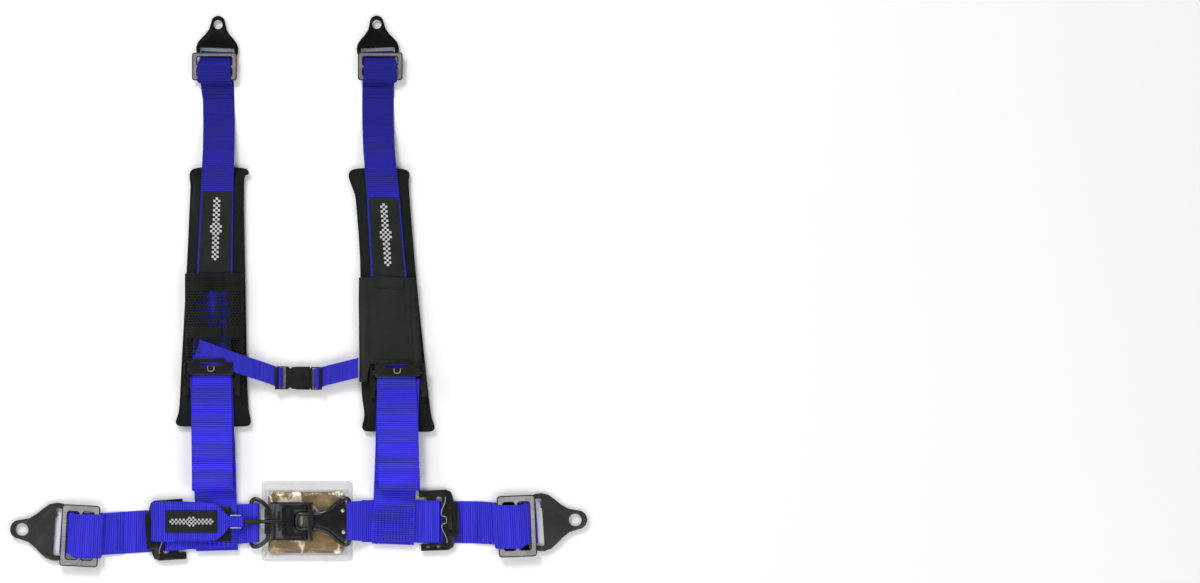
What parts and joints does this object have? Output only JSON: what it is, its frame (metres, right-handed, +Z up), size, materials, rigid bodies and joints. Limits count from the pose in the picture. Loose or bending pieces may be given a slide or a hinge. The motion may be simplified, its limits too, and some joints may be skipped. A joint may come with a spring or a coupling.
{
  "type": "racing harness",
  "caption": "Four point racing harness with padded shoulder belts, lap belts, chest strap and a lever latch, laid out flat",
  "frame": {"origin": "middle of the laid out harness, on the surface that it lies on", "axes": "+X along the lap belt towards the link side, +Y towards the shoulder anchors, +Z up"},
  "size_m": [0.6972, 0.6662, 0.0269],
  "materials": {
    "webbing": "woven polyester webbing with fine ribs across",
    "black_steel": "satin black coated pressed steel",
    "bright_steel": "brushed bright face inside a black edge",
    "pad_cloth": "dark woven pad cloth",
    "mesh_cloth": "open hexagonal net",
    "wrap_cloth": "smooth charcoal nylon",
    "label": null,
    "hook_tape": "hook and loop tape",
    "gold_satin": "crinkled satin",
    "vinyl": "clear soft vinyl",
    "black_plastic": "moulded",
    "rubber": "matt sleeve",
    "zinc": "bright plated wire and rivets"
  },
  "bodies": {
    "left_half": {"vinyl_sleeve": "vinyl", "padded_insert": "gold_satin", "latch_body": "black_steel", "latch_bail": "black_steel", "lever_pin_rear": "black_steel", "lever_pin_front": "black_steel", "lap_belt_inner_left": "webbing", "adjuster_frame_lap_left": "black_steel", "lock_spring_lap_left": "zinc", "lower_shoulder_belt_left": "webbing", "adjuster_frame_shoulder_left": "black_steel", "shoulder_pad_left": "pad_cloth", "mesh_pocket": "mesh_cloth", "chest_strap_left": "webbing", "buckle_female": "black_plastic", "hook_patch": "hook_tape"},
    "right_half": {"link_rim": "black_steel", "link_plate": "black_steel", "link_rivet_1": "zinc", "link_rivet_2": "zinc", "lap_belt_inner_right": "webbing", "adjuster_frame_lap_right": "black_steel", "lock_spring_lap_right": "zinc", "lower_shoulder_belt_right": "webbing", "adjuster_frame_shoulder_right": "black_steel", "shoulder_pad_right": "pad_cloth", "pad_wrap": "wrap_cloth", "chest_strap_right": "webbing", "buckle_male": "black_plastic"},
    "latch_lever": {"latch_lever": "black_steel", "lever_sleeve": "rubber"},
    "pull_tab": {"pull_tab": "webbing", "tab_label": "label", "tab_clip": "zinc"},
    "lap_end_left": {"lap_belt_outer_left": "webbing", "slide_lap_left": "bright_steel"},
    "lap_anchor_left": {"anchor_plate_lap_left": "black_steel"},
    "lap_lock_left": {"lock_plate_lap_left": "black_steel"},
    "shoulder_end_left": {"shoulder_belt_left": "webbing", "slide_shoulder_left": "bright_steel", "shoulder_label_left": "label"},
    "shoulder_anchor_left": {"anchor_plate_shoulder_left": "black_steel"},
    "shoulder_lock_left": {"lock_plate_shoulder_left": "black_steel", "lock_bar_shoulder_left": "black_steel", "lock_spring_shoulder_left": "zinc"},
    "lap_end_right": {"lap_belt_outer_right": "webbing", "slide_lap_right": "bright_steel"},
    "lap_anchor_right": {"anchor_plate_lap_right": "black_steel"},
    "lap_lock_right": {"lock_plate_lap_right": "black_steel"},
    "shoulder_end_right": {"shoulder_belt_right": "webbing", "slide_shoulder_right": "bright_steel", "shoulder_label_right": "label"},
    "shoulder_anchor_right": {"anchor_plate_shoulder_right": "black_steel"},
    "shoulder_lock_right": {"lock_plate_shoulder_right": "black_steel", "lock_bar_shoulder_right": "black_steel", "lock_spring_shoulder_right": "zinc"},
    "prong_rear": {"buckle_prong_rear": "black_plastic"},
    "prong_front": {"buckle_prong_front": "black_plastic"},
    "wrap_flap": {"wrap_flap": "wrap_cloth"}
  },
  "joints": [
    {"name": "link_release", "type": "slide", "parent": "left_half", "child": "right_half", "axis": [1, 0, 0], "range_m": [0, 0.045]},
    {"name": "lever_turn", "type": "hinge", "parent": "left_half", "child": "latch_lever", "pos_m": [0.0081, -0.2777, 0.0135], "axis": [0, 1, 0], "range_deg": [0, 105]},
    {"name": "tab_lift", "type": "hinge", "parent": "latch_lever", "child": "pull_tab", "pos_m": [-0.0649, -0.2777, 0.0137], "axis": [0, 1, 0], "range_deg": [0, 60]},
    {"name": "lap_pull_left", "type": "slide", "parent": "left_half", "child": "lap_end_left", "axis": [-0.9978, -0.0663, 0], "range_m": [0, 0.04]},
    {"name": "lap_pull_right", "type": "slide", "parent": "right_half", "child": "lap_end_right", "axis": [0.9999, -0.0119, 0], "range_m": [0, 0.04]},
    {"name": "shoulder_pull_left", "type": "slide", "parent": "left_half", "child": "shoulder_end_left", "axis": [0.02, 0.9998, 0], "range_m": [0, 0.025]},
    {"name": "shoulder_pull_right", "type": "slide", "parent": "right_half", "child": "shoulder_end_right", "axis": [-0.06, 0.9982, 0], "range_m": [0, 0.025]},
    {"name": "lap_anchor_turn_left", "type": "hinge", "parent": "lap_end_left", "child": "lap_anchor_left", "pos_m": [-0.284, -0.291, 0.0042], "axis": [0.0663, 0.9978, 0], "range_deg": [0, 35]},
    {"name": "lap_anchor_turn_right", "type": "hinge", "parent": "lap_end_right", "child": "lap_anchor_right", "pos_m": [0.284, -0.2794, 0.0042], "axis": [0.0645, -0.9979, 0], "range_deg": [0, 35]},
    {"name": "shoulder_anchor_turn_left", "type": "hinge", "parent": "shoulder_end_left", "child": "shoulder_anchor_left", "pos_m": [-0.0986, 0.2859, 0.0042], "axis": [0.9994, -0.0332, 0], "range_deg": [0, 35]},
    {"name": "shoulder_anchor_turn_right", "type": "hinge", "parent": "shoulder_end_right", "child": "shoulder_anchor_right", "pos_m": [0.0958, 0.2862, 0.0042], "axis": [0.9992, 0.0401, 0], "range_deg": [0, 35]},
    {"name": "lap_lock_press_left", "type": "slide", "parent": "left_half", "child": "lap_lock_left", "axis": [-0.9978, -0.0663, 0], "range_m": [0, 0.0025], "stiffness_N_per_m": 400},
    {"name": "lap_lock_press_right", "type": "slide", "parent": "right_half", "child": "lap_lock_right", "axis": [0.9992, 0.0401, 0], "range_m": [0, 0.0025], "stiffness_N_per_m": 400},
    {"name": "shoulder_lock_press_left", "type": "slide", "parent": "left_half", "child": "shoulder_lock_left", "axis": [0, 1, 0], "range_m": [0, 0.002], "stiffness_N_per_m": 400},
    {"name": "shoulder_lock_press_right", "type": "slide", "parent": "right_half", "child": "shoulder_lock_right", "axis": [-0.0262, 0.9997, 0], "range_m": [0, 0.002], "stiffness_N_per_m": 400},
    {"name": "prong_pinch_rear", "type": "hinge", "parent": "right_half", "child": "prong_rear", "pos_m": [0.0123, -0.0946, 0.0065], "axis": [0, 0, 1], "range_deg": [0, 8], "stiffness_Nm_per_rad": 0.3},
    {"name": "prong_pinch_front", "type": "hinge", "parent": "right_half", "child": "prong_front", "pos_m": [0.0119, -0.1152, 0.0065], "axis": [0, 0, -1], "range_deg": [0, 8], "stiffness_Nm_per_rad": 0.3},
    {"name": "flap_lift", "type": "hinge", "parent": "right_half", "child": "wrap_flap", "pos_m": [0.1098, 0.0033, 0.0189], "axis": [0.9969, -0.0785, 0], "range_deg": [0, 80]}
  ]
}
